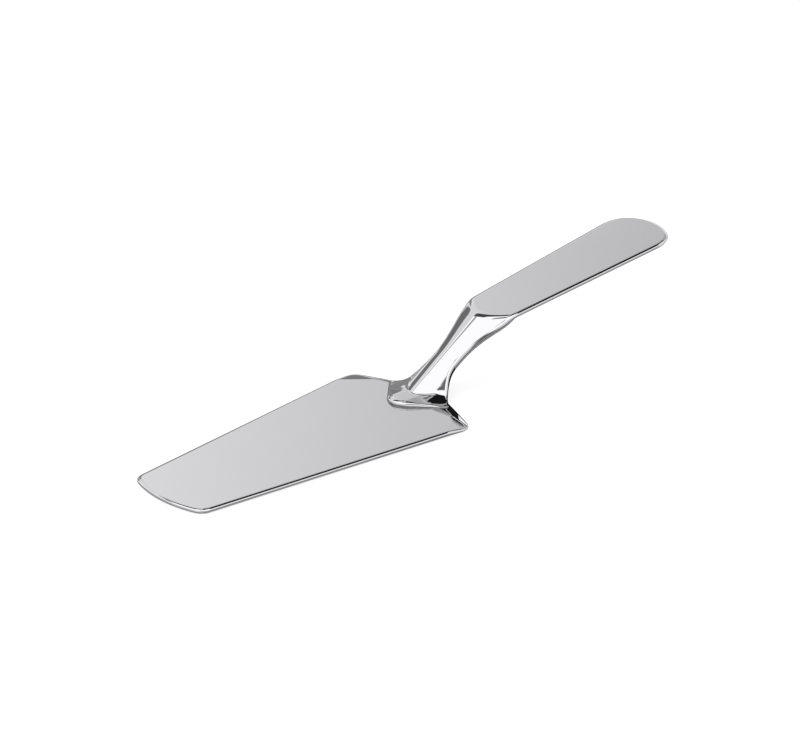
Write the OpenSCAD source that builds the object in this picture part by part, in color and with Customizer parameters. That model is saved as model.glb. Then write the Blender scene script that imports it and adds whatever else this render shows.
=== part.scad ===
// Cake server in mirror-polished stainless steel.
// A flat tapered blade, a cranked flat handle whose foot lies on the blade, and the braze seam round that foot.
// X runs from the blade's tip to the handle's end, Z is up, and the blade's underside rests on Z = 0.

/* [Blade] */
// Length of the blade from the tip's crown to its rear corners
blade_length = 123.5; // [100:0.5:150]
// Width of the blade across its tip corners
tip_width = 38.3; // [28:0.1:48]
// Width of the blade across its rear corners
rear_width = 66.4; // [54:0.1:80]
// Thickness of the blade's sheet
blade_thickness = 1.9; // [1.5:0.1:2.5]
// How far the tip bows forward of its corners
tip_bow = 4; // [2:0.1:7]
// Length that each tip corner is rounded over
tip_corner = 3.6; // [2:0.1:6]
// Length that each rear corner is rounded over
rear_corner = 5; // [3:0.1:8]
// How far the rear border sweeps back from its corners to the neck
rear_sweep = 10.2; // [6:0.1:14]
// Width over which the blade's edges are rounded
blade_edge = 1.5; // [1:0.1:2.5]
// Depth that the top face is dressed down at each rear corner
fold_drop = 1; // [0.3:0.05:1.1]
// Length of the rear border, measured across the blade, that each dressed corner takes
fold_border = 16.5; // [9:0.5:18]
// Length of the side that each dressed corner takes
fold_side = 12.5; // [6:0.5:15]

/* [Foot] */
// Length of the foot from its nose to the bend where the neck starts
foot_length = 10; // [8:0.1:13]
// Width that the foot's flaring sides reach at its ears
foot_width = 33.2; // [28:0.1:36]
// Distance of the ears behind the bend
ear_reach = 4.1; // [3:0.1:5]
// Width of the foot's round nose
nose_width = 5.6; // [4:0.1:8]
// Length that the foot's nose is rounded over
nose_length = 2.6; // [2:0.1:4]
// Width of the flat middle of the foot
foot_flat = 7; // [4:0.5:10]
// Slope of the foot's flanks beside that flat, in degrees
flank_angle = 7.6; // [4:0.1:10]
// Width between the steeper flanks at the root of the neck
root_flat = 15.6; // [14:0.1:20]
// Slope of those flanks in degrees
root_angle = 15.6; // [12:0.1:18]
// Width over which the foot's nose is rounded
foot_edge = 2.6; // [1.5:0.1:3]
// Width over which the edges of its ears are rounded
ear_edge = 0.9; // [0.6:0.1:1.5]

/* [Neck] */
// Height that the neck climbs from the foot to the grip
neck_rise = 22.3; // [16:0.1:30]
// Slope of the neck's ridge in degrees
neck_angle = 32.3; // [26:0.1:40]
// Width of the neck at its waist
waist_width = 13.2; // [10:0.1:16]
// Radius of the neck's crown where it leaves the foot
root_crown = 4.6; // [4:0.1:8]
// Radius of the neck's crown at the waist
waist_crown = 6.8; // [5:0.1:10]
// Radius of the neck's crown where it reaches the grip
grip_crown = 16; // [12:0.5:30]
// Slope of the neck's flanks where it leaves the foot, in degrees
root_flank = 32; // [26:0.5:36]
// Slope of the neck's flanks at the waist in degrees
waist_flank = 44.5; // [36:0.5:48]
// Slope of the neck's flanks where it reaches the grip, in degrees
grip_flank = 43.5; // [36:0.5:48]

/* [Grip] */
// Length of the flat grip from its nose to its end
grip_length = 95.3; // [80:0.1:115]
// Width of the grip where the neck has opened out to it
grip_front_width = 24; // [20:0.1:28]
// Width of the grip at its end
grip_end_width = 31.4; // [26:0.1:38]
// Slope of the grip in degrees
grip_angle = 6.4; // [2:0.1:12]
// Thickness of the handle's sheet
handle_thickness = 1.9; // [1.5:0.1:2.5]
// How far the grip's end bows out beyond its corners
end_bow = 8.3; // [5:0.1:12]
// Length that each end corner is rounded over
end_corner = 5.5; // [3:0.1:8]
// Width over which the handle's edges are rounded
handle_edge = 1.5; // [1:0.1:2.5]

/* [Seam] */
// Width of the braze seam beside the foot
seam_width = 0.4; // [0.3:0.1:1.2]

/* [Hidden] */

// Braze gap under the foot
braze_gap = 0.05;
// Thickness that the foot keeps at its ears
flange = 0.35;
// Length over which the foot's flanks grow steeper, its middle behind the bend, and rounding where they start
flank_run = 7;
flank_shift = 0.8;
flank_soft = 1.8;
// Rounding of the bends: at the foot, at the grip's nose, of the thin ears and of their corners in plan
foot_bend = 0.5;
grip_bend = 1.4;
flange_blend = 0.45;
ear_soft = 3.7;
// Half width at which the bend at the foot is twice as soft as in the middle
bend_half = 4.4;
// Small step used to read a slope, as a share of the handle's thickness
probe = 0.01 * handle_thickness;

// Shares of the neck's run at which its waist lies and over which its shoulders reach onto the grip
waist_share = 0.49;
shoulder_share = 0.2;
// Height of the rim as a share of the edge's thickness: on the foot, and on the even edges
foot_rim_share = 0.3;
even_rim_share = 0.5;
// Softness of the dressed corners' fold as a share of their depth
fold_soft_share = 0.06;
// Share of the rear border's half width that its rounding across the neck takes
border_soft_share = 0.24;
// Shares of the shoulder's length and of the foot's length at which the outline's next stretch starts
blend_share = 1.8;
root_start_share = 0.25;

// Places along X, counted from the tip's crown
foot_end_x = blade_length;
nose_x = foot_end_x - foot_length;
grip_nose_x = foot_end_x + neck_rise / tan(neck_angle);
end_x = grip_nose_x + grip_length;
waist_x = foot_end_x + waist_share * (grip_nose_x - foot_end_x);
shoulder_x = grip_nose_x + shoulder_share * (grip_nose_x - foot_end_x);
ear_x = foot_end_x + ear_reach;
rear_x = blade_length + rear_sweep;
end_corner_x = end_x - end_bow;
// The frame's origin is midway along the whole server
origin_x = end_x / 2;

// Heights of the handle's middle surface at the foot and at the grip's nose
foot_z = blade_thickness + braze_gap + handle_thickness / 2;
grip_z = foot_z + neck_rise;

// Counts of steps along each stretch of the outlines
tip_steps = 9;
corner_steps = 6;
side_steps = 5;
root_steps = 8;
rear_steps = 14;
nose_steps = 10;
neck_steps = 40;
shoulder_steps = 14;
grip_steps = 5;
end_steps = 8;
edge_steps = 6;
blade_lanes = 20;
handle_lanes = 16;

// A value held between 0 and 1, and the smooth step between them
function held(u) = min(1, max(0, u));
function ease(u) = let(s = held(u)) s * s * (3 - 2 * s);

// Larger or smaller of two heights, with the corner rounded over a height k
function high(a, b, k) = max(a, b) + pow(max(k - abs(a - b), 0), 3) / (6 * k * k);
function low(a, b, k) = min(a, b) - pow(max(k - abs(a - b), 0), 3) / (6 * k * k);

// Points of a curve that rounds the corner b between a and c
function corner(a, b, c, n) = [for (i = [1:n - 1]) let(t = i / n) pow(1 - t, 2) * a + 2 * t * (1 - t) * b + t * t * c];

// Points of a shallow arc that bows to the crown, and the angle that it spans at a half width
function bow_radius(w, bow) = (w * w + bow * bow) / (2 * bow);
function bow_angle(w, bow) = asin(w / bow_radius(w, bow));

// Half width of the blade on its straight sides
function blade_side(x) =
    let(share = (x - tip_bow) / (blade_length - tip_bow))
    (tip_width + (rear_width - tip_width) * share) / 2;

// Rear border of the blade: straight and swept back, rounded across the neck
function border_x(y) =
    let(soft = border_soft_share * rear_width / 2)
    let(full = sqrt(pow(rear_width / 2, 2) + soft * soft) - soft)
    rear_x - rear_sweep * (sqrt(y * y + soft * soft) - soft) / full;

// Depth of the dressed corner: 0 along a line from the border to the side, all of it at the corner
function fold_depth(x, y) =
    let(run = border_x(rear_width / 2 - fold_border) - blade_length + fold_side)
    let(past = (x - blade_length) / fold_side + 1 + (abs(y) - rear_width / 2) * run / (fold_border * fold_side))
    fold_drop * high(past, 0, fold_soft_share);

function blade_top(x, y) = blade_thickness - fold_depth(x, y);

// Half of the blade's outline, from the tip's crown to the middle of the rear border
function blade_half() =
    let(w = tip_width / 2)
    let(r = bow_radius(w, tip_bow))
    let(full = bow_angle(w, tip_bow))
    let(cut = full * (1 - tip_corner / (r * full * PI / 180)))
    let(arc_end = [r * (1 - cos(cut)), r * sin(cut)])
    let(side_start = [tip_bow + tip_corner, blade_side(tip_bow + tip_corner)])
    let(side_end = [blade_length - rear_corner, blade_side(blade_length - rear_corner)])
    let(root_x = nose_x - root_start_share * foot_length)
    let(border_y = rear_width / 2 - rear_corner)
    concat(
        [for (i = [0:tip_steps - 1]) let(a = cut * i / tip_steps) [r * (1 - cos(a)), r * sin(a)]],
        [arc_end],
        corner(arc_end, [tip_bow, w], side_start, corner_steps),
        [for (i = [0:side_steps - 1])
            let(x = side_start.x + (root_x - side_start.x) * i / side_steps) [x, blade_side(x)]],
        [for (i = [0:root_steps]) let(x = root_x + (side_end.x - root_x) * i / root_steps) [x, blade_side(x)]],
        corner(side_end, [blade_length, rear_width / 2], [border_x(border_y), border_y], corner_steps),
        [for (i = [0:rear_steps]) let(y = border_y * (1 - i / rear_steps)) [border_x(y), y]]
    );

// Half width of the foot: a quarter of an ellipse at its nose, on top of straight flaring sides
function foot_side(x) =
    let(flare = (foot_width - nose_width) / 2 / (ear_x - nose_x))
    let(left = 1 - held((x - nose_x) / nose_length))
    flare * (x - nose_x) + nose_width / 2 * sqrt(1 - left * left);

// Half width of the neck and of the grip's straight sides
function neck_side(x) =
    let(down = (waist_x - x) / (waist_x - ear_x))
    let(up = pow(held((x - waist_x) / (shoulder_x - waist_x)), 1.2))
    x < waist_x
        ? waist_width / 2 + (foot_width - waist_width) / 2 * pow(down, 2)
        : waist_width / 2 + (grip_side(shoulder_x) - waist_width / 2) * ease(up);
function grip_side(x) =
    let(share = (x - shoulder_x) / (end_corner_x - shoulder_x))
    (grip_front_width + (grip_end_width - grip_front_width) * share) / 2;

// Half of the handle's outline, from the foot's nose to the end of the grip
function handle_half() =
    let(w = grip_end_width / 2)
    let(r = bow_radius(w, end_bow))
    let(full = bow_angle(w, end_bow))
    let(cut = full * (1 - end_corner / (r * full * PI / 180)))
    let(arc_start = [end_x - r * (1 - cos(cut)), r * sin(cut)])
    let(side_end = [end_corner_x - end_corner, grip_side(end_corner_x - end_corner)])
    concat(
        [for (i = [0:nose_steps - 1])
            let(x = nose_x + nose_length * (1 - cos(90 * i / nose_steps))) [x, foot_side(x)]],
        [for (i = [0:neck_steps - 1])
            let(x0 = nose_x + nose_length)
            let(x = x0 + (grip_nose_x - x0) * i / neck_steps)
            [x, low(foot_side(x), neck_side(x), ear_soft)]],
        [for (i = [0:shoulder_steps - 1])
            let(x = grip_nose_x + blend_share * (shoulder_x - grip_nose_x) * i / shoulder_steps)
            [x, x < shoulder_x ? neck_side(x) : grip_side(x)]],
        [for (i = [0:grip_steps])
            let(x0 = grip_nose_x + blend_share * (shoulder_x - grip_nose_x))
            let(x = x0 + (side_end.x - x0) * i / grip_steps)
            [x, grip_side(x)]],
        corner(side_end, [end_corner_x, w], arc_start, corner_steps),
        [for (i = [0:end_steps]) let(a = cut * (1 - i / end_steps)) [end_x - r * (1 - cos(a)), r * sin(a)]]
    );

// Middle surface of the foot: flat along its middle, with flanks that grow steeper towards the neck's root
function flank(y, flat, angle) = tan(angle) * high(abs(y) - flat / 2, 0, flank_soft);
function foot_mid(x, y) =
    let(share = ease((x - foot_end_x - flank_shift) / flank_run + 1 / 2))
    foot_z - (1 - share) * flank(y, foot_flat, flank_angle) - share * flank(y, root_flat, root_angle);

// A value that eases from the foot's bend to the waist, and on from there to the grip
function along_neck(x, root, waist, grip) =
    let(first = ease((x - foot_end_x) / (waist_x - foot_end_x)))
    let(second = ease((x - waist_x) / (grip_nose_x - waist_x)))
    root + (waist - root) * first + (grip - waist) * second;

// Middle surface of the handle: foot, crowned neck that climbs from it, flat grip that cuts it off.
// Across the neck it is a hyperbola, so that its flanks are nearly straight
function handle_mid(x, y) =
    let(radius = along_neck(x, root_crown, waist_crown, grip_crown))
    let(side = tan(along_neck(x, root_flank, waist_flank, grip_flank)))
    let(fall = side * (norm([y, side * radius]) - side * radius))
    let(neck = foot_z + (x - foot_end_x) * tan(neck_angle) - fall)
    let(grip = grip_z + (x - grip_nose_x) * tan(grip_angle))
    low(high(foot_mid(x, y), neck, foot_bend * (1 + pow(y / bend_half, 2))), grip, grip_bend);

// Half of the sheet's height at a place, so that it keeps its thickness on a slope
function half_sheet(x, y) =
    let(dx = (handle_mid(x + probe, y) - handle_mid(x - probe, y)) / (2 * probe))
    let(dy = (handle_mid(x, y + probe) - handle_mid(x, y - probe)) / (2 * probe))
    handle_thickness / 2 * sqrt(1 + dx * dx + dy * dy);
function handle_top(x, y) =
    high(handle_mid(x, y) + half_sheet(x, y), blade_thickness + braze_gap + flange, flange_blend);
function handle_bottom(x, y) =
    max(handle_mid(x, y) - half_sheet(x, y), blade_top(x, y) + braze_gap);

// Unit normal of a closed outline at point i, pointing out of it
function outward(loop, i) =
    let(n = len(loop))
    let(d = loop[(i + 1) % n] - loop[(i + n - 1) % n])
    [-d.y, d.x] / norm(d);

// Whole outline from its half, which runs from the front crown down one side to the rear
function whole(half) =
    concat(half, [for (i = [len(half) - 2:-1:1]) [half[i].x, -half[i].y]]);

// Width of the rounded edge at x, and the height of its rim as a share of the thickness there
function blade_rim(x) = [blade_edge, even_rim_share];
function handle_rim(x) =
    let(share = ease((x - foot_end_x) / (waist_x - foot_end_x)))
    [lookup(x, [[nose_x, foot_edge], [foot_end_x, ear_edge], [waist_x, handle_edge]]),
        foot_rim_share + (even_rim_share - foot_rim_share) * share];

// Place on the rounded edge at outline point i: turn is 0 on the top face, 90 at the rim, 180 underneath
function edge_point(loop, i, edge, turn, top, bottom) =
    let(rim = edge(loop[i].x))
    let(p = loop[i] - outward(loop, i) * rim[0] * (1 - sin(turn)))
    let(upper = top(p.x, p.y), under = bottom(p.x, p.y))
    let(mid = under + (upper - under) * rim[1])
    [p.x, p.y, mid + (turn < 90 ? upper - mid : mid - under) * cos(turn)];

// A sheet between two height surfaces, with its outline's edge rounded all round
module pressed_sheet(half, edge, lanes, top, bottom) {
    loop = whole(half);
    n = len(loop);
    m = len(half) - 1;
    rim = [for (k = [0:edge_steps], i = [0:n - 1]) edge_point(loop, i, edge, 180 * k / edge_steps, top, bottom)];
    across = [for (j = [1:lanes - 1]) 1 - 2 * j / lanes];
    upper = [for (i = [1:m - 1], v = across) let(p = rim[i]) [p.x, p.y * v, top(p.x, p.y * v)]];
    lower = [for (i = [1:m - 1], v = across)
        let(p = rim[edge_steps * n + i]) [p.x, p.y * v, bottom(p.x, p.y * v)]];
    points = [for (p = concat(rim, upper, lower)) [p.x - origin_x, p.y, p.z]];
    // Index of the point at row i and lane j of the upper (0) or lower (1) face
    function at(side, i, j) =
        let(ring = side * edge_steps * n)
        j == 0 || i == 0 || i == m ? ring + i
        : j == lanes ? ring + (n - i) % n
        : (edge_steps + 1) * n + side * (m - 1) * (lanes - 1) + (i - 1) * (lanes - 1) + j - 1;
    rim_faces = [for (k = [0:edge_steps - 1], i = [0:n - 1])
        let(a = k * n + i, b = k * n + (i + 1) % n)
        each [[b + n, b, a], [a + n, b + n, a]]];
    face = [for (side = [0, 1], i = [0:m - 1], j = [0:lanes - 1])
        let(a = at(side, i, j), b = at(side, i, j + 1), c = at(side, i + 1, j + 1), d = at(side, i + 1, j))
        each [if (i > 0) side == 0 ? [c, b, a] : [a, b, c], if (i < m - 1) side == 0 ? [d, c, a] : [a, c, d]]];
    polyhedron(points, concat(rim_faces, face));
}

// Tapered blade, flat underneath, with its rear corners dressed down on top
module blade() {
    color([0.80, 0.80, 0.82])
        pressed_sheet(blade_half(), function(x) blade_rim(x), blade_lanes,
            function(x, y) blade_top(x, y), function(x, y) 0);
}

// Handle in one piece: foot on the blade, crowned neck, flat grip
module handle() {
    color([0.74, 0.74, 0.77])
        pressed_sheet(handle_half(), function(x) handle_rim(x), handle_lanes,
            function(x, y) handle_top(x, y), function(x, y) handle_bottom(x, y));
}

// Braze that fills the groove under the foot's rounded edge and stands out beside it
module braze_seam() {
    half = handle_half();
    loop = whole(half);
    n = len(loop);
    last = max([for (i = [0:len(half) - 1]) if (half[i].x < border_x(half[i].y) - blade_edge) i]);
    turns = [90, 110, 130, 150];
    rows = [for (s = [-last:last])
        let(i = (s + n) % n)
        let(out = outward(loop, i))
        let(under = [for (t = turns)
            edge_point(loop, i, function(x) handle_rim(x), t,
                function(x, y) handle_top(x, y), function(x, y) handle_bottom(x, y))])
        let(foot = [for (d = [-handle_rim(loop[i].x)[0] * (1 - sin(150)), 0, seam_width])
            let(p = loop[i] + out * d) [p.x, p.y, blade_top(p.x, p.y)]])
        let(rise = under[0].z - foot[2].z)
        let(face = [for (d = [0.55, 0.2]) let(p = loop[i] + out * seam_width * d)
            [p.x, p.y, blade_top(p.x, p.y) + rise * pow(1 - d, 2.2)]])
        concat(under, [foot[0], foot[1], foot[2]], face)];
    count = len(rows[0]);
    points = [for (row = rows, p = row) [p.x - origin_x, p.y, p.z]];
    sides = [for (s = [0:len(rows) - 2], k = [0:count - 1])
        let(a = s * count + k, b = s * count + (k + 1) % count)
        each [[b + count, b, a], [a + count, b + count, a]]];
    tail = (len(rows) - 1) * count;
    color([0.86, 0.86, 0.86])
        polyhedron(points, concat(sides,
            [[for (k = [0:count - 1]) k]], [[for (k = [count - 1:-1:0]) tail + k]]));
}

blade();
handle();
braze_seam();
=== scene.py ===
import math

import bpy
import numpy as np
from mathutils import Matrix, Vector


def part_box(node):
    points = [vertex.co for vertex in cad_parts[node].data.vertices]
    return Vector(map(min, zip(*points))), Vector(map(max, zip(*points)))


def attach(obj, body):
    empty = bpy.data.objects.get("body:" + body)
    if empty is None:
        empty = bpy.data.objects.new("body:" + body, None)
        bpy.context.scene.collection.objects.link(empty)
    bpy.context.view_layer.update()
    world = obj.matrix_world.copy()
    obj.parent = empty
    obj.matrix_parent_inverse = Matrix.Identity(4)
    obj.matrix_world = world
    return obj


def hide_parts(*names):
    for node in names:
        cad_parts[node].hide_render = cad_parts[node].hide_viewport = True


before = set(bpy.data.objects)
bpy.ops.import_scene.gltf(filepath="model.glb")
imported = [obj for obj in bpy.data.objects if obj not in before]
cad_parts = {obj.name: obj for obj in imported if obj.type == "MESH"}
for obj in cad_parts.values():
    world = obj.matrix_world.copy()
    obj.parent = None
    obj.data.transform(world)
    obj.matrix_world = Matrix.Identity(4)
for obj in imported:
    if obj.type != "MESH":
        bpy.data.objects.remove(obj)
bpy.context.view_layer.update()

# a polished steel cake server on a white table: blade, cranked handle and the braze seam between them
mm = 0.001  # shapes below are worked out in millimetres, with x counted from the crown of the tip
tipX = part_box("blade")[0][0] / mm  # where that crown lies in the row frame
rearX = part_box("blade")[1][0] / mm - tipX
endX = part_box("handle")[1][0] / mm - tipX
print("frame loaded, server is %.0f mm long" % endX)


# the camera: a long lens from a metre and a half away

cameraSet = {
    "distance": 1.523,
    "heading": 227.3,  # degrees from +X, where the camera stands
    "elevation": 24.93,
    "lookAt": (0.00139, 0.01177, 0.010),
    "lens": 180.0,
    "sensor": 36.0,
    "clip": (0.05, 30.0),
}


def addCamera(values):
    heading, elevation = math.radians(values["heading"]), math.radians(values["elevation"])
    flat = math.cos(elevation)
    back = np.array([flat * math.cos(heading), flat * math.sin(heading), math.sin(elevation)])
    data = bpy.data.cameras.new("camera")
    data.lens, data.sensor_width = values["lens"], values["sensor"]
    data.clip_start, data.clip_end = values["clip"]
    camera = bpy.data.objects.new("camera", data)
    camera.location = np.array(values["lookAt"]) + values["distance"] * back
    camera.rotation_mode = "QUATERNION"
    camera.rotation_quaternion = Vector(-back).to_track_quat("-Z", "Y")
    bpy.context.scene.collection.objects.link(camera)
    bpy.context.scene.camera = camera


addCamera(cameraSet)
print("camera placed")


# small tools for shapes

def ease(u):
    # smooth step: 3u squared less 2u cubed, with u held between 0 and 1
    s = np.clip(u, 0.0, 1.0)
    return s * s * (3.0 - 2.0 * s)


def higher(a, b, soft):
    # the larger of two heights, with the corner between them rounded over a height of soft:
    # the cube of what their distance leaves of soft, over six times soft squared, is added
    return np.maximum(a, b) + np.maximum(soft - np.abs(a - b), 0.0) ** 3 / (6.0 * soft ** 2)


def lower(a, b, soft):
    # the smaller of two heights: the same, upside down
    return -higher(-a, -b, soft)


def bowedEnd(halfWidth, bow, cut, steps):
    # arc of a circle that bows out by bow over a half width, from its crown to cut short of the corner
    radius = (halfWidth ** 2 + bow ** 2) / (2.0 * bow)
    full = math.asin(halfWidth / radius)
    angle = np.linspace(0.0, full - cut / radius, steps + 1)
    return np.c_[radius * (1.0 - np.cos(angle)), radius * np.sin(angle)]


def roundCorner(a, b, c, steps):
    # quadratic curve from a to c that is drawn towards the corner b, without its two ends
    t = (np.arange(1, steps) / steps)[:, None]
    return (1.0 - t) ** 2 * np.array(a) + 2.0 * t * (1.0 - t) * np.array(b) + t * t * np.array(c)


def wholeLoop(half):
    # a half outline from crown to crown, closed with its mirror image across the long middle plane
    return np.vstack([half, half[-2:0:-1] * (1.0, -1.0)])


def outwardNormals(loop):
    # unit normal at each point of a closed outline: its chord to the two neighbours, turned a quarter
    chord = np.roll(loop, -1, 0) - np.roll(loop, 1, 0)
    return np.c_[-chord[:, 1], chord[:, 0]] / np.linalg.norm(chord, axis=1)[:, None]


def edgePoints(loop, outward, edge, turn, topOf, bottomOf):
    # places on a rounded edge: part of an ellipse from the top face (turn 0) down to the rim (turn pi / 2),
    # and part of another from there to the underside (turn pi). edge gives its width and the rim's height
    wide, rimShare = edge(loop[:, 0], loop[:, 1])
    place = loop[None] - outward[None] * (wide[None] * (1.0 - np.sin(turn))[:, None])[..., None]
    top, bottom = topOf(place[..., 0], place[..., 1]), bottomOf(place[..., 0], place[..., 1])
    middle = bottom + (top - bottom) * rimShare[None]
    bend = np.cos(turn)[:, None]
    height = middle + np.where(bend > 0.0, top - middle, middle - bottom) * bend
    return np.dstack([place, height])


def meshPiece(name, points, faces):
    # one object at the origin from points in millimetres and lists of faces, all shaded smooth
    mesh = bpy.data.meshes.new(name)
    mesh.from_pydata((points * mm).tolist(), [], [face for part in faces for face in part.tolist()])
    mesh.polygons.foreach_set("use_smooth", np.ones(len(mesh.polygons), dtype=bool))
    mesh.update()
    piece = bpy.data.objects.new(name, mesh)
    bpy.context.scene.collection.objects.link(piece)
    return piece


def shapePiece(name, points, faces):
    # the same for points whose x is counted from the tip's crown
    return meshPiece(name, points + (tipX, 0.0, 0.0), faces)


def sheetPiece(name, values, half, edge, topOf, bottomOf):
    # a pressed sheet between two height surfaces: rings round its rim, and lanes across each face
    # that run from one side of the rim to the other at equal x
    lanes, turns = values["lanes"], values["turns"]
    loop = wholeLoop(half)
    count, last = len(loop), len(half) - 1
    rim = edgePoints(loop, outwardNormals(loop), edge, np.linspace(0.0, math.pi, turns + 1), topOf, bottomOf)
    across = np.linspace(1.0, -1.0, lanes + 1)[1:-1]
    points, index, base = [rim.reshape(-1, 3)], [], (turns + 1) * count
    for side, heightOf in enumerate((topOf, bottomOf)):
        row = rim[side * turns, 1:last]
        x, y = np.repeat(row[:, :1], lanes - 1, 1), row[:, 1:2] * across[None]
        points.append(np.dstack([x, y, heightOf(x, y)]).reshape(-1, 3))
        ring = side * turns * count
        table = np.empty((last + 1, lanes + 1), dtype=int)
        table[:, 0] = ring + np.arange(last + 1)
        table[:, -1] = ring + (count - np.arange(last + 1)) % count
        table[1:-1, 1:-1] = base + np.arange((last - 1) * (lanes - 1)).reshape(last - 1, lanes - 1)
        table[0], table[-1] = ring, ring + last
        base += (last - 1) * (lanes - 1)
        index.append(table)
    faces = []
    for side, table in enumerate(index):
        a, b, c, d = table[:-1, :-1], table[:-1, 1:], table[1:, 1:], table[1:, :-1]
        quads = np.stack([a[1:-1], b[1:-1], c[1:-1], d[1:-1]], -1).reshape(-1, 4)
        front = np.stack([a[0], c[0], d[0]], -1)
        rear = np.stack([a[-1], b[-1], c[-1]], -1)
        faces += [part[:, ::-1] if side else part for part in (quads, front, rear)]
    k, i = np.meshgrid(np.arange(turns), np.arange(count), indexing="ij")
    a, b = k * count + i, k * count + (i + 1) % count
    faces.append(np.stack([a, b, b + count, a + count], -1).reshape(-1, 4))
    return shapePiece(name, np.vstack(points), faces)


# the blade

bladeSet = {
    "cornerX": 123.5,  # from the tip's crown to the rear corners
    "tipHalf": 19.15,
    "rearHalf": 33.2,
    "thickness": 1.9,
    "tipBow": 4.0,
    "tipCorner": 3.6,
    "rearCorner": 5.0,
    "borderSoft": 0.24,  # how softly the border's two runs meet, as a share of the half width
    "edge": 1.5,  # width over which the edges are rounded
    "rim": 0.5,  # height of the rim, as a share of the thickness
    # where the border is dressed its rounding is wider: its greatest width, the half width where that starts,
    # and the distance from the corner where it ends. It is widest where the fold leaves the border
    "dressedEdge": 5.0,
    "dressedStart": 12.0,
    "dressedEnd": 1.0,
    # a soft fold across each rear corner of the top face: where it leaves the border and the side,
    # as distances from the corner, and how deep the corner itself lies
    "foldBorder": 16.5,
    "foldSide": 12.5,
    "foldDrop": 1.0,
    "foldSoft": 0.06,
    # how finely it is cut up: steps round the corners, points along the side (fine from just ahead of
    # the foot) and along the border, lanes across and turns round the edge
    "tipSteps": 28,
    "cornerSteps": 24,
    "sidePoints": (25, 60),
    "fineLead": 2.5,
    "borderPoints": 130,
    "lanes": 96,
    "turns": 16,
}
# the foot: how far its nose reaches ahead of the bend, how far its flaring sides reach out and behind it,
# and the half width and length of its rounded nose
footSet = {"length": 10.0, "half": 16.6, "earReach": 4.1, "nose": 2.8, "noseRun": 2.6}
footEndX = bladeSet["cornerX"]
noseX = footEndX - footSet["length"]


def borderX(y):
    # the rear border: two straight runs swept back from the corners, joined by a hyperbola
    v = bladeSet
    soft = v["borderSoft"] * v["rearHalf"]
    full = math.hypot(v["rearHalf"], soft) - soft
    return rearX - (rearX - v["cornerX"]) * (np.hypot(y, soft) - soft) / full


def foldDrop(x, y):
    # 0 along a line from the border to the side, growing evenly to the whole depth at the corner
    v = bladeSet
    run = borderX(v["rearHalf"] - v["foldBorder"]) - v["cornerX"] + v["foldSide"]
    past = (x - v["cornerX"]) / v["foldSide"] + 1.0
    past = past + (np.abs(y) - v["rearHalf"]) * run / (v["foldBorder"] * v["foldSide"])
    return v["foldDrop"] * higher(past, 0.0, v["foldSoft"])


def bladeTop(x, y):
    # the whole thickness, less the fold
    return bladeSet["thickness"] - foldDrop(x, y)


def bladeBottom(x, y):
    # flat on the table
    return np.zeros(np.shape(x))


def bladeSide(x):
    # half width that grows evenly from the tip to the rear corners
    v = bladeSet
    share = (x - v["tipBow"]) / (v["cornerX"] - v["tipBow"])
    return v["tipHalf"] + (v["rearHalf"] - v["tipHalf"]) * share


def bladeHalf():
    # half outline: bowed tip, rounded corner, straight side, rounded corner, rear border
    v = bladeSet
    tip = bowedEnd(v["tipHalf"], v["tipBow"], v["tipCorner"], v["tipSteps"])
    startX, stopX = v["tipBow"] + v["tipCorner"], v["cornerX"] - v["rearCorner"]
    fineX = noseX - v["fineLead"]
    borderY = v["rearHalf"] - v["rearCorner"]
    plain = np.linspace(startX, fineX, v["sidePoints"][0])[:-1]
    fine = np.linspace(fineX, stopX, v["sidePoints"][1])
    y = borderY * (1.0 - np.linspace(0.0, 1.0, v["borderPoints"]))
    corner, end = (v["cornerX"], v["rearHalf"]), (borderX(borderY), borderY)
    return np.vstack([
        tip,
        roundCorner(tip[-1], (v["tipBow"], v["tipHalf"]), (startX, bladeSide(startX)), v["cornerSteps"]),
        np.c_[plain, bladeSide(plain)],
        np.c_[fine, bladeSide(fine)],
        roundCorner((stopX, bladeSide(stopX)), corner, end, v["cornerSteps"]),
        np.c_[borderX(y), y],
    ])


def bladeEdge(x, y):
    # width of the rounding, wider along the dressed part of the rear border, and height of its rim
    v = bladeSet
    border = ease((x - v["cornerX"]) / v["rearCorner"] + 1.0)
    places = (v["dressedStart"], v["rearHalf"] - v["foldBorder"], v["rearHalf"] - v["dressedEnd"])
    share = np.interp(np.abs(y), places, (0.0, 1.0, 0.0))
    return v["edge"] + (v["dressedEdge"] - v["edge"]) * border * share, np.full(x.shape, v["rim"])


blade = sheetPiece("bladeSheet", bladeSet, bladeHalf(), bladeEdge, bladeTop, bladeBottom)
print("blade built")


# the handle: foot, crowned neck and flat grip in one sheet

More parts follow.
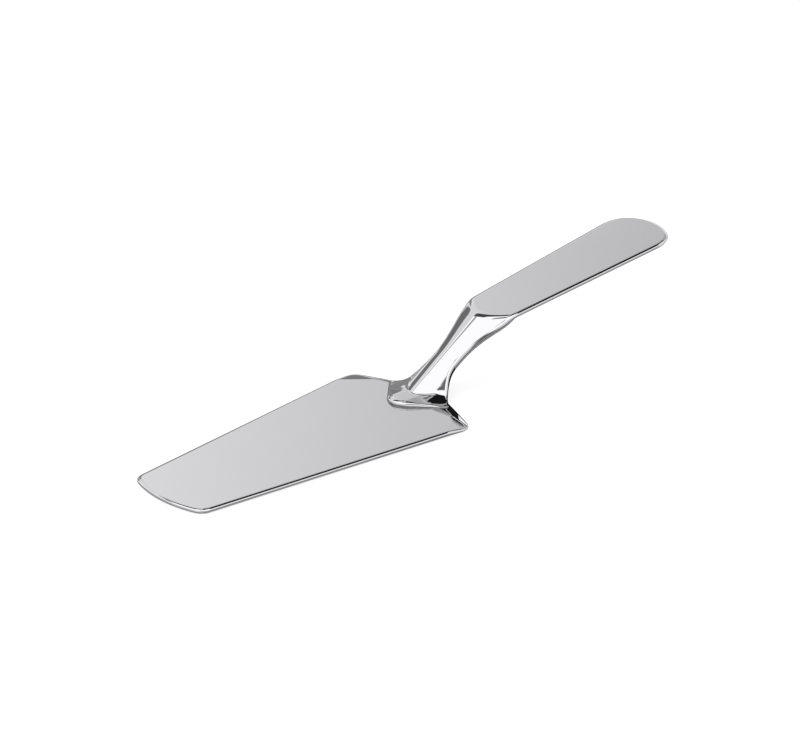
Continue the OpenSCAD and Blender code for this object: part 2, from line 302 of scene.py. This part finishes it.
handleSet = {
    "thickness": 1.9,
    "gap": 0.05,  # between the foot and the blade
    "rise": 22.3,  # from the foot to the grip's nose
    "neckAngle": 32.3,
    # the neck's crown where it leaves the foot, at its waist and at the grip: radius, and slope of its flanks
    "crownRadius": (4.6, 6.8, 16.0),
    "crownAngle": (32.0, 44.5, 43.5),
    # half width of the waist, and where it lies and where the shoulders end, as shares of the neck's run
    # from the bend and from the grip's nose; the powers with which the neck narrows and opens out
    "waistHalf": 6.6,
    "waistShare": 0.49,
    "shoulderShare": 0.2,
    "narrowPower": 2.0,
    "openPower": 1.2,
    "gripAngle": 6.4,
    "gripFrontHalf": 12.0,
    "gripEndHalf": 15.7,
    "gripBend": 1.4,  # softness of the crease between neck and grip
    "endBow": 8.3,
    "endCorner": 5.5,
    # the foot's flanks at its nose and at the neck's root: half width where they start, and slope in degrees;
    # they change over a run that is centred a little behind the bend
    "flankStart": (3.5, 7.8),
    "flankAngle": (7.6, 15.6),
    "flankSoft": 1.8,
    "flankRun": 7.0,
    "flankShift": 0.8,
    "footBend": 0.5,  # softness of the bend between foot and neck
    "bendHalf": 4.4,  # half width at which that bend is twice as soft
    "earSoft": 5.0,  # roundness of the corners where the foot's flare turns back to the neck
    "flange": 0.35,  # the foot's least thickness, and how softly its flanks run out into it
    "flangeSoft": 0.45,
    # width of the rounding at the foot's nose, at its ears and from the waist on, and height of its rim
    "footEdge": 2.6,
    "earEdge": 0.65,
    "edge": 1.5,
    "sharpRun": 4.0,  # the length ahead of the bend over which the foot's edge is already sharp
    "footRim": 0.3,
    "rim": 0.5,
    # how finely it is cut up, from nose to end
    "nosePoints": 41,
    "neckPoints": 171,
    "shoulderPoints": 71,
    "shoulderReach": 1.8,  # how far the shoulder's fine rows run on, in its own lengths
    "gripPoints": 16,
    "cornerSteps": 16,
    "endSteps": 32,
    "lanes": 96,
    "turns": 16,
    "probe": 0.02,  # step over which slopes are measured
}
neckSlope = math.tan(math.radians(handleSet["neckAngle"]))
gripSlope = math.tan(math.radians(handleSet["gripAngle"]))
neckRun = handleSet["rise"] / neckSlope
gripNoseX = footEndX + neckRun
waistX = footEndX + handleSet["waistShare"] * neckRun
shoulderX = gripNoseX + handleSet["shoulderShare"] * neckRun
earX = footEndX + footSet["earReach"]
endCornerX = endX - handleSet["endBow"]
footZ = bladeSet["thickness"] + handleSet["gap"] + handleSet["thickness"] / 2.0
gripZ = footZ + handleSet["rise"]


def footSide(x):
    # a quarter of an ellipse at the nose, on top of straight flaring sides
    v = footSet
    flare = (v["half"] - v["nose"]) / (earX - noseX)
    left = 1.0 - np.clip((x - noseX) / v["noseRun"], 0.0, 1.0)
    return flare * (x - noseX) + v["nose"] * np.sqrt(1.0 - left ** 2)


def gripSide(x):
    # half width that grows evenly from the shoulders to the grip's end
    v = handleSet
    widening = v["gripEndHalf"] - v["gripFrontHalf"]
    return v["gripFrontHalf"] + widening * (x - shoulderX) / (endCornerX - shoulderX)


def neckSide(x):
    # narrowing from the foot to the waist as a power of the distance, then easing out to the grip
    v = handleSet
    down = np.clip((waistX - x) / (waistX - earX), 0.0, None) ** v["narrowPower"]
    up = np.clip((x - waistX) / (shoulderX - waistX), 0.0, 1.0) ** v["openPower"]
    return np.where(
        x < waistX,
        v["waistHalf"] + (footSet["half"] - v["waistHalf"]) * down,
        v["waistHalf"] + (gripSide(shoulderX) - v["waistHalf"]) * ease(up))


def handleHalf():
    # half outline: rounded foot, neck, shoulder, straight grip, rounded corner, bowed end
    v = handleSet
    run = footSet["noseRun"]
    nose = noseX + run * (1.0 - np.cos(np.radians(np.linspace(0.0, 90.0, v["nosePoints"])[:-1])))
    neck = np.linspace(noseX + run, gripNoseX, v["neckPoints"])[:-1]
    shoulderEnd = gripNoseX + v["shoulderReach"] * (shoulderX - gripNoseX)
    shoulder = np.linspace(gripNoseX, shoulderEnd, v["shoulderPoints"])[:-1]
    sideEnd = endCornerX - v["endCorner"]
    grip = np.linspace(shoulderEnd, sideEnd, v["gripPoints"])
    end = bowedEnd(v["gripEndHalf"], v["endBow"], v["endCorner"], v["endSteps"])[::-1]
    end[:, 0] = endX - end[:, 0]
    corner = (endCornerX, v["gripEndHalf"])
    return np.vstack([
        np.c_[nose, footSide(nose)],
        np.c_[neck, lower(footSide(neck), neckSide(neck), v["earSoft"])],
        np.c_[shoulder, np.where(shoulder < shoulderX, neckSide(shoulder), gripSide(shoulder))],
        np.c_[grip, gripSide(grip)],
        roundCorner((sideEnd, gripSide(sideEnd)), corner, end[0], v["cornerSteps"]),
        end,
    ])


def footMid(x, y):
    # flat along its middle, with flanks that grow steeper towards the neck's root
    v = handleSet
    nose, root = (
        math.tan(math.radians(angle)) * higher(np.abs(y) - start, 0.0, v["flankSoft"])
        for start, angle in zip(v["flankStart"], v["flankAngle"]))
    share = ease((x - footEndX - v["flankShift"]) / v["flankRun"] + 0.5)
    return footZ - (1.0 - share) * nose - share * root


def alongNeck(x, values):
    # a value that eases from the foot's bend to the waist, and on from there to the grip
    root, waist, grip = values
    first = ease((x - footEndX) / (waistX - footEndX))
    second = ease((x - waistX) / (gripNoseX - waistX))
    return root + (waist - root) * first + (grip - waist) * second


def handleMid(x, y):
    # middle surface: the neck's ridge climbs from the foot, rounded across as a hyperbola whose flanks
    # are nearly straight, and the sloping plane of the grip cuts it off
    v = handleSet
    radius = alongNeck(x, v["crownRadius"])
    side = np.tan(np.radians(alongNeck(x, v["crownAngle"])))
    neck = footZ + (x - footEndX) * neckSlope - side * (np.hypot(y, side * radius) - side * radius)
    grip = gripZ + (x - gripNoseX) * gripSlope
    bend = v["footBend"] * (1.0 + (y / v["bendHalf"]) ** 2)
    return lower(higher(footMid(x, y), neck, bend), grip, v["gripBend"])


def halfSheet(x, y):
    # half the sheet's thickness measured upright, so that the wall stays even on a slope: it grows with
    # the root of one plus the squares of the two slopes
    probe = handleSet["probe"]
    slopeX = (handleMid(x + probe, y) - handleMid(x - probe, y)) / (2.0 * probe)
    slopeY = (handleMid(x, y + probe) - handleMid(x, y - probe)) / (2.0 * probe)
    return handleSet["thickness"] / 2.0 * np.sqrt(1.0 + slopeX ** 2 + slopeY ** 2)


def handleTop(x, y):
    # half a sheet above the middle surface, and never below the foot's thin flange
    v = handleSet
    flangeZ = bladeSet["thickness"] + v["gap"] + v["flange"]
    return higher(handleMid(x, y) + halfSheet(x, y), flangeZ, v["flangeSoft"])


def handleBottom(x, y):
    # half a sheet below the middle surface, and never nearer to the blade than the gap
    return np.maximum(handleMid(x, y) - halfSheet(x, y), bladeTop(x, y) + handleSet["gap"])


def handleEdge(x, y):
    # width of the rounding and height of its rim, both changing from the foot to the waist
    v = handleSet
    places = (noseX, footEndX - v["sharpRun"], footEndX, waistX)
    wide = np.interp(x, places, (v["footEdge"], v["earEdge"], v["earEdge"], v["edge"]))
    share = ease((x - footEndX) / (waistX - footEndX))
    return wide, v["footRim"] + (v["rim"] - v["footRim"]) * share


handle = sheetPiece("handleSheet", handleSet, handleHalf(), handleEdge, handleTop, handleBottom)
print("handle built")


# the braze seam round the foot

seamSet = {
    "width": 0.25,
    "bulge": 2.2,  # power with which its face falls away
    "steps": 8,
    "turns": (90.0, 110.0, 130.0, 150.0),  # where it touches the foot's rounded edge
}


def brazeSeam(values):
    # a fillet carried round the foot as far as the blade's border: it fills the groove under the rounded
    # edge, and its face falls from the rim as a power of the distance
    half = handleHalf()
    loop = wholeLoop(half)
    outward = outwardNormals(loop)
    last = int(np.max(np.nonzero(half[:, 0] < borderX(half[:, 1]) - bladeSet["edge"])))
    order = np.arange(-last, last + 1) % len(loop)
    turns = np.radians(values["turns"])
    under = edgePoints(loop, outward, handleEdge, turns, handleTop, handleBottom)[:, order]
    place, normal = loop[order], outward[order]

    def onBlade(distance):
        # the blade's face at a distance outside the foot's outline
        spot = place + normal * np.reshape(distance, (-1, 1))
        return np.c_[spot, bladeTop(spot[:, 0], spot[:, 1])]

    inner = -handleEdge(place[:, 0], place[:, 1])[0] * (1.0 - math.sin(turns[-1]))
    foot = [onBlade(d) for d in (inner, 0.0, values["width"])]
    rise = under[0, :, 2] - foot[2][:, 2]
    face = []
    for share in np.linspace(1.0, 0.0, values["steps"] + 1)[1:-1]:
        spot = onBlade(values["width"] * share)
        spot[:, 2] += rise * (1.0 - share) ** values["bulge"]
        face.append(spot)
    rows = np.concatenate([under, np.stack(foot + face)]).transpose(1, 0, 2)
    count = rows.shape[1]
    s, k = np.meshgrid(np.arange(len(rows) - 1), np.arange(count), indexing="ij")
    a, b = s * count + k, s * count + (k + 1) % count
    sides = np.stack([a, b, b + count, a + count], -1).reshape(-1, 4)
    caps = [np.arange(count)[None, ::-1], ((len(rows) - 1) * count + np.arange(count))[None]]
    return shapePiece("brazeFillet", rows.reshape(-1, 3), [sides] + caps)


seam = brazeSeam(seamSet)
print("braze seam built")


# finishes

steelSet = {
    "colour": (0.650, 0.645, 0.668, 1.0),
    "roughness": (0.030, 0.055),
    "hairlineScale": (60.0, 2600.0, 600.0),  # long along the server, fine across it
    "hairlineDetail": 3.0,
    "hairlineDepth": 0.0000006,
    "waveScale": 26.0,
    "waveDetail": 2.0,
    "waveDepth": 0.00002,
}
# the braze seam's finish: the steel's, rougher, with a dark colour that is painted shade of the groove under
# the foot's rounded edge
brazeShadeSet = dict(steelSet, colour=(0.20, 0.19, 0.185, 1.0), roughness=(0.20, 0.34))


def noiseAt(nodes, links, place, scale, detail):
    # cloudy noise over a place, of a given fineness
    noise = nodes.new("ShaderNodeTexNoise")
    noise.inputs["Scale"].default_value = scale
    noise.inputs["Detail"].default_value = detail
    links.new(place, noise.inputs["Vector"])
    return noise.outputs["Fac"]


def bumpFrom(nodes, links, height, depth):
    # a relief of a given depth in metres
    bump = nodes.new("ShaderNodeBump")
    bump.inputs["Distance"].default_value = depth
    links.new(height, bump.inputs["Height"])
    return bump


def polishedSteel(name, values):
    # mirror-polished sheet: slow waves in the rolled face, faint hairlines along it, and uneven polish
    material = bpy.data.materials.new(name)
    material.use_nodes = True
    nodes, links = material.node_tree.nodes, material.node_tree.links
    shader = nodes["Principled BSDF"]
    shader.inputs["Base Color"].default_value = values["colour"]
    shader.inputs["Metallic"].default_value = 1.0
    coords = nodes.new("ShaderNodeTexCoord")
    stretch = nodes.new("ShaderNodeMapping")
    stretch.inputs["Scale"].default_value = values["hairlineScale"]
    links.new(coords.outputs["Object"], stretch.inputs["Vector"])
    hairs = noiseAt(nodes, links, stretch.outputs["Vector"], 1.0, values["hairlineDetail"])
    cloud = noiseAt(nodes, links, coords.outputs["Object"], values["waveScale"], values["waveDetail"])
    polish = nodes.new("ShaderNodeMapRange")
    polish.inputs["To Min"].default_value, polish.inputs["To Max"].default_value = values["roughness"]
    links.new(cloud, polish.inputs["Value"])
    links.new(polish.outputs["Result"], shader.inputs["Roughness"])
    wave = bumpFrom(nodes, links, cloud, values["waveDepth"])
    scratch = bumpFrom(nodes, links, hairs, values["hairlineDepth"])
    links.new(wave.outputs["Normal"], scratch.inputs["Normal"])
    links.new(scratch.outputs["Normal"], shader.inputs["Normal"])
    return material


steel = polishedSteel("polishedSteel", steelSet)
braze = polishedSteel("brazeWithPaintedShade", brazeShadeSet)

for piece, node, slotName, finish in (
    (blade, "blade", "polished_steel", steel),
    (handle, "handle", "polished_steel", steel),
    (seam, "braze_seam", "silver_braze", braze),
):
    piece.data.materials.append(finish)
    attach(piece, "root")
    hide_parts(node)
print("finishes set")


# the studio: white floor, soft light, and a painted dome that only the steel sees, with a disc of painted
# shade on the floor under the server and a black card of painted shade under the neck

def glowMaterial(name):
    # a surface that only glows, at the level painted on it
    material = bpy.data.materials.new(name)
    material.use_nodes = True
    nodes, links = material.node_tree.nodes, material.node_tree.links
    nodes.clear()
    out = nodes.new("ShaderNodeOutputMaterial")
    glow = nodes.new("ShaderNodeEmission")
    level = nodes.new("ShaderNodeAttribute")
    level.attribute_name = "level"
    links.new(level.outputs["Fac"], glow.inputs["Strength"])
    links.new(glow.outputs["Emission"], out.inputs["Surface"])
    return material


def onlyForSteel(surface, level, materialName):
    # paints the glow's level on each point, and shows it to mirror rays alone
    surface.data.attributes.new("level", "FLOAT", "POINT").data.foreach_set("value", level)
    surface.data.materials.append(glowMaterial(materialName))
    surface.visible_camera = surface.visible_diffuse = False
    surface.visible_shadow = surface.visible_transmission = False


def glowPatch(heading, elevation, soft, level, lean=0.0):
    # headings and elevations in degrees as seen from the server, width of the soft rim, level as one number
    # or as (heading, level) pairs, and lean of the headings for each degree of elevation
    pairs = level if isinstance(level, tuple) else ((0, level),)
    return {"heading": heading, "elevation": elevation, "soft": soft, "level": pairs, "lean": lean}


domeSet = {"radius": 10.0, "lowest": -25.0, "level": 1.5}  # metres, degrees, and the glow outside the patches
# painted on the dome one after the other
domePatches = {
    # walls on the camera's side, and the backdrop opposite it
    "leftWall": glowPatch((118, 200), (-30, 46), 6.0, ((118, 1.0), (150, 0.72), (180, 0.86))),
    "frontWall": glowPatch(
        (-200, -64), (-30, 46), 6.0, ((-180, 0.86), (-150, 0.80), (-110, 0.92), (-64, 0.80))),
    "crescent": glowPatch((-143, -127), (4, 20.5), 2.0, 1.5),
    "backdrop": glowPatch(
        (-64, 92), (-30, 30), 3.0, ((-64, 0.80), (40, 0.76), (47, 0.80), (52, 1.02), (60, 1.06), (92, 1.0))),
    "backdropTop": glowPatch(
        (-64, 102), (30, 43), 3.0, ((-64, 0.80), (40, 0.50), (47, 0.70), (51, 0.87), (60, 1.0), (92, 1.0))),
    "backdropPeak": glowPatch((36, 51), (43, 62), 3.0, 0.55),
    # lights and darks that draw the foot and the neck's left side
    "rimLight": glowPatch((-64, 0), (15, 54), 3.0, 1.1),
    "low": glowPatch((43, 51.5), (9, 19), 1.0, 0.26),
    "wedge": glowPatch((51.5, 72), (-2, 24.5), 1.5, 0.32),
    "wedgeTop": glowPatch((53.7, 72), (20, 28.5), 1.5, 0.32),
    "leftBand": glowPatch((75.5, 92), (9, 29), 3.0, 0.21),
    "crease": glowPatch((51, 92), (44, 62), 3.0, 0.08),
    "thinLine": glowPatch((92, 112), (47, 51), 2.0, 0.40),
    # the black ceiling behind the server
    "blackLow": glowPatch((8, 38), (42.5, 63), 2.0, 0.012),
    "blackMiddle": glowPatch((8, 42.5), (45.5, 63), 1.0, 0.012),
    "blackLeft": glowPatch((47, 50), (37, 47), 1.0, 0.03),
    "blackLeftTop": glowPatch((42, 47.5), (50, 64), 1.0, 0.012),
    "zenithDark": glowPatch((45, 120), (74, 86), 2.0, 0.05),
    "crescentEnd": glowPatch((-144, -127), (19.5, 50), 2.0, 0.80),
    "blackTop": glowPatch((8, 48.5), (52, 84), 2.0, 0.012),
    "blackPeak": glowPatch((-30, 8), (55.5, 63), 2.0, 0.012),
    # what the dressed border, the tip and the near edges show, and the lenses on the neck's right side
    "rearLight": glowPatch((12, 42.5), (9.5, 24.5), 1.0, 1.3),
    "rearDark": glowPatch((12, 43), (-30, 9.5), 1.5, 0.10),
    "tipLight": glowPatch((106, 150), (16, 45), 3.0, 0.95),
    "tipDark": glowPatch((100, 150), (-8, 16), 3.0, 0.40),
    "rightEdge": glowPatch((-125, -66), (1, 20), 3.0, 0.08),
    "nearEdge": glowPatch((-66, -50), (-10, 25), 4.0, 0.30),
    "rightLens": glowPatch((-95, -77), (25, 58), 3.0, 0.14, lean=-1.0),
    "lowLens": glowPatch((-138, -124), (65, 70), 2.0, 0.18),
    "rightLine": glowPatch((-112, -80), (-5, 14), 3.0, 0.12),
}


def patchMask(heading, elevation, values):
    # 1 inside the patch and 0 outside, with a smooth step over its soft rim, and its level
    soft = values["soft"]
    h = heading - values["lean"] * elevation
    mask = np.ones(h.shape)
    for place, (low, high) in ((h, values["heading"]), (elevation, values["elevation"])):
        mask = mask * ease((place - low) / soft + 0.5) * ease((high - place) / soft + 0.5)
    return mask, np.interp(h, *zip(*values["level"]))


def studioDome(values, patches):
    # part of a sphere round the server, one degree to a face: cosines and sines of heading and elevation
    h, e = np.meshgrid(np.arange(-180.0, 180.0), np.arange(values["lowest"], 90.0), indexing="ij")
    a, b = np.radians(h), np.radians(e)
    points = np.dstack([np.cos(b) * np.cos(a), np.cos(b) * np.sin(a), np.sin(b)]) * values["radius"] / mm
    level = np.full(h.shape, values["level"])
    for patch in patches.values():
        mask, tone = patchMask(h, e, patch)
        level = level + (tone - level) * mask
    rows, columns = h.shape
    i, j = np.meshgrid(np.arange(rows), np.arange(columns - 1), indexing="ij")
    k, beside = i * columns + j, (i + 1) % rows * columns + j
    quads = np.stack([k, k + 1, beside + 1, beside], -1).reshape(-1, 4)
    onlyForSteel(meshPiece("studioDome", points.reshape(-1, 3), [quads]), level.ravel(), "domeGlow")


studioDome(domeSet, domePatches)


def lightPathMask(nodes, links):
    # 1 for rays that show the background: from the camera, in a mirror or through glass
    path = nodes.new("ShaderNodeLightPath")
    mask = path.outputs["Is Camera Ray"]
    for ray in ("Is Glossy Ray", "Is Transmission Ray"):
        either = nodes.new("ShaderNodeMath")
        either.operation = "MAXIMUM"
        links.new(mask, either.inputs[0])
        links.new(path.outputs[ray], either.inputs[1])
        mask = either.outputs["Value"]
    return mask


floorSet = {"radius": 1.6, "corners": 128, "colour": 0.55, "glow": 0.72}


def whiteFloor(values):
    # matt disc whose own glow lifts it to white in the picture and in the steel
    count = values["corners"]
    turn = np.linspace(0.0, 2.0 * math.pi, count + 1)[:-1]
    points = np.c_[np.cos(turn), np.sin(turn), np.zeros(count)] * values["radius"] / mm
    floor = meshPiece("floor", points, [np.arange(count)[None]])
    material = bpy.data.materials.new("floorWhite")
    material.use_nodes = True
    nodes, links = material.node_tree.nodes, material.node_tree.links
    nodes.clear()
    out = nodes.new("ShaderNodeOutputMaterial")
    matt = nodes.new("ShaderNodeBsdfDiffuse")
    matt.inputs["Color"].default_value = (*[values["colour"]] * 3, 1.0)
    glow = nodes.new("ShaderNodeEmission")
    level = nodes.new("ShaderNodeMath")
    level.operation = "MULTIPLY"
    level.inputs[1].default_value = values["glow"]
    links.new(lightPathMask(nodes, links), level.inputs[0])
    links.new(level.outputs["Value"], glow.inputs["Strength"])
    add = nodes.new("ShaderNodeAddShader")
    links.new(matt.outputs["BSDF"], add.inputs[0])
    links.new(glow.outputs["Emission"], add.inputs[1])
    links.new(add.outputs["Shader"], out.inputs["Surface"])
    floor.data.materials.append(material)


whiteFloor(floorSet)

# painted shade for the steel's mirror: how dim the floor under the server looks, and how far the neck's shade
# reaches
floorShadeSet = {
    "radius": 0.4,
    "height": 0.00002,
    "level": 0.40,
    "shadeRadius": 0.07,  # the neck's shade: how far it reaches, and what it leaves of the level
    "shadeLevel": 0.2,
    "rings": 24,
    "turns": 96,
}


def floorShadeDisc(values):
    # a disc just above the floor that only the steel sees, with painted shade: the floor under the server,
    # dimmed as if in its shadow. Its level eases to 1 over the outer half of its radius, and is lower towards
    # the middle, in the neck's painted shade
    ring = np.linspace(0.0, 1.0, values["rings"] + 1)[1:]
    turn = np.linspace(0.0, 2.0 * math.pi, values["turns"] + 1)[:-1]
    place = ring[:, None, None] * np.dstack([np.cos(turn), np.sin(turn)]) * values["radius"]
    points = np.vstack([[[0.0, 0.0, 0.0]], np.c_[place.reshape(-1, 2), np.zeros(ring.size * turn.size)]])
    points[:, 2] += values["height"]
    i, j = np.meshgrid(np.arange(ring.size - 1), np.arange(turn.size), indexing="ij")
    a, b = 1 + i * turn.size + j, 1 + i * turn.size + (j + 1) % turn.size
    middle = np.c_[np.zeros(turn.size, dtype=int), a[0], b[0]]
    sides = np.stack([a, a + turn.size, b + turn.size, b], -1).reshape(-1, 4)
    distance = np.hypot(points[:, 0], points[:, 1])
    level = values["level"] + (1.0 - values["level"]) * ease(2.0 * distance / values["radius"] - 1.0)
    shade = ease(distance / values["shadeRadius"])
    level = level * (values["shadeLevel"] + (1.0 - values["shadeLevel"]) * shade)
    onlyForSteel(meshPiece("floorShadeDisc", points / mm, [middle, sides]), level, "floorShadeGlow")


floorShadeDisc(floorShadeSet)

# in millimetres: how far behind the tip's crown it stands, and how far it reaches across and up
neckShadeSet = {"x": 140.0, "across": (-13.3, 10.0), "up": (0.1, 12.0), "level": 0.012}


def neckShadeCard(values):
    # a small upright black card across the server, just behind the blade, that only the steel sees: painted
    # shade under the neck, which darkens the dressed border in its mirror under the neck and beside it
    x, (y0, y1), (z0, z1) = values["x"], values["across"], values["up"]
    points = np.array([(x, y0, z0), (x, y1, z0), (x, y1, z1), (x, y0, z1)])
    card = shapePiece("neckShadeCard", points, [np.arange(4)[None]])
    onlyForSteel(card, np.full(4, values["level"]), "neckShadeBlack")


neckShadeCard(neckShadeSet)

worldSet = {"light": 0.72, "background": 1.0}


def whiteWorld(values):
    # plain white light on all sides, and white where the background shows
    world = bpy.data.worlds.new("studio")
    world.use_nodes = True
    nodes, links = world.node_tree.nodes, world.node_tree.links
    sky = nodes["Background"]
    level = nodes.new("ShaderNodeMapRange")
    level.inputs["To Min"].default_value = values["light"]
    level.inputs["To Max"].default_value = values["background"]
    links.new(lightPathMask(nodes, links), level.inputs["Value"])
    links.new(level.outputs["Result"], sky.inputs["Strength"])
    sky.inputs["Color"].default_value = (1.0, 1.0, 1.0, 1.0)
    bpy.context.scene.world = world


whiteWorld(worldSet)

keySet = {"power": 2.2, "place": (-0.5, 0.6, 1.3), "size": 1.0}


def keyLight(values):
    # one large soft lamp above, for the shadow on the floor
    data = bpy.data.lights.new("key", "AREA")
    data.energy, data.size = values["power"], values["size"]
    key = bpy.data.objects.new("key", data)
    key.location = values["place"]
    key.rotation_mode = "QUATERNION"
    key.rotation_quaternion = (-Vector(values["place"])).to_track_quat("-Z", "Y")
    key.visible_glossy = False  # the steel sees the dome instead
    bpy.context.scene.collection.objects.link(key)


keyLight(keySet)
bpy.context.scene.view_settings.view_transform = "Standard"
print("studio set")
